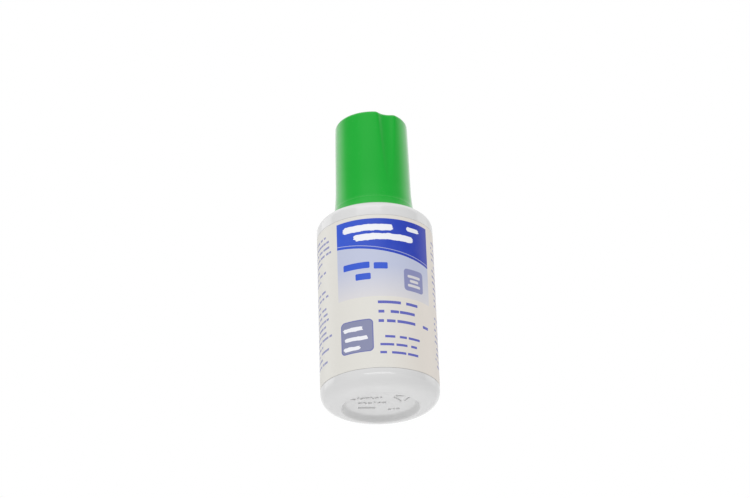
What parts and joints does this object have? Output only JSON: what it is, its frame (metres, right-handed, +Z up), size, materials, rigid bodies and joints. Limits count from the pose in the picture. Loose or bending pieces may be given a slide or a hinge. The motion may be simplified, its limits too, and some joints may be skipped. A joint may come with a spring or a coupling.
{
  "type": "correction fluid bottle",
  "caption": "Round white bottle with a wrap-round label and a tall scooped screw cap that carries a brush on a wand into the bottle, with a steel ball inside for mixing.",
  "frame": {"origin": "centre of the ring that the bottle stands on", "axes": "+Z up along the axis of bottle and cap; -Y towards the front of the label"},
  "size_m": [0.029, 0.029, 0.0775],
  "materials": {
    "bottle_plastic": "white polyethylene, satin",
    "label_paper": "coated label stock with a blue and pale lilac print",
    "wiper_plastic": "natural polyethylene",
    "liner_foam": "white closed foam",
    "cap_plastic": "green polypropylene, semi-gloss",
    "closure_plastic": "white polypropylene",
    "wand_plastic": "white polyethylene",
    "anchor_metal": "plain strip",
    "bristle_nylon": "nylon strands, coated with white fluid towards the tip",
    "ball_steel": "polished steel"
  },
  "bodies": {
    "bottle_body": {"bottle": "bottle_plastic", "label": "label_paper", "neck_wiper": "wiper_plastic"},
    "cap_seal": {"cap_liner": "liner_foam"},
    "cap": {"cap_shell": "cap_plastic", "cap_insert": "closure_plastic", "brush_wand": "wand_plastic", "bristle_anchor": "anchor_metal", "brush_bristles": "bristle_nylon"},
    "ball": {"mixing_ball": "ball_steel"}
  },
  "joints": [
    {"name": "cap_lift", "type": "slide", "parent": "bottle_body", "child": "cap_seal", "axis": [0, 0, 1], "range_m": [0, 0.063]},
    {"name": "cap_turn", "type": "hinge", "parent": "cap_seal", "child": "cap", "pos_m": [0, 0, 0.0625], "axis": [0, 0, 1], "range_deg": [0, 7560]},
    {"name": "ball_rattle", "type": "slide", "parent": "bottle_body", "child": "ball", "axis": [0, 0, 1], "range_m": [0, 0.041]}
  ],
  "couplings": [
    {"joint": "cap_lift", "follows": "cap_turn", "m_per_rad": 0.00047746}
  ]
}
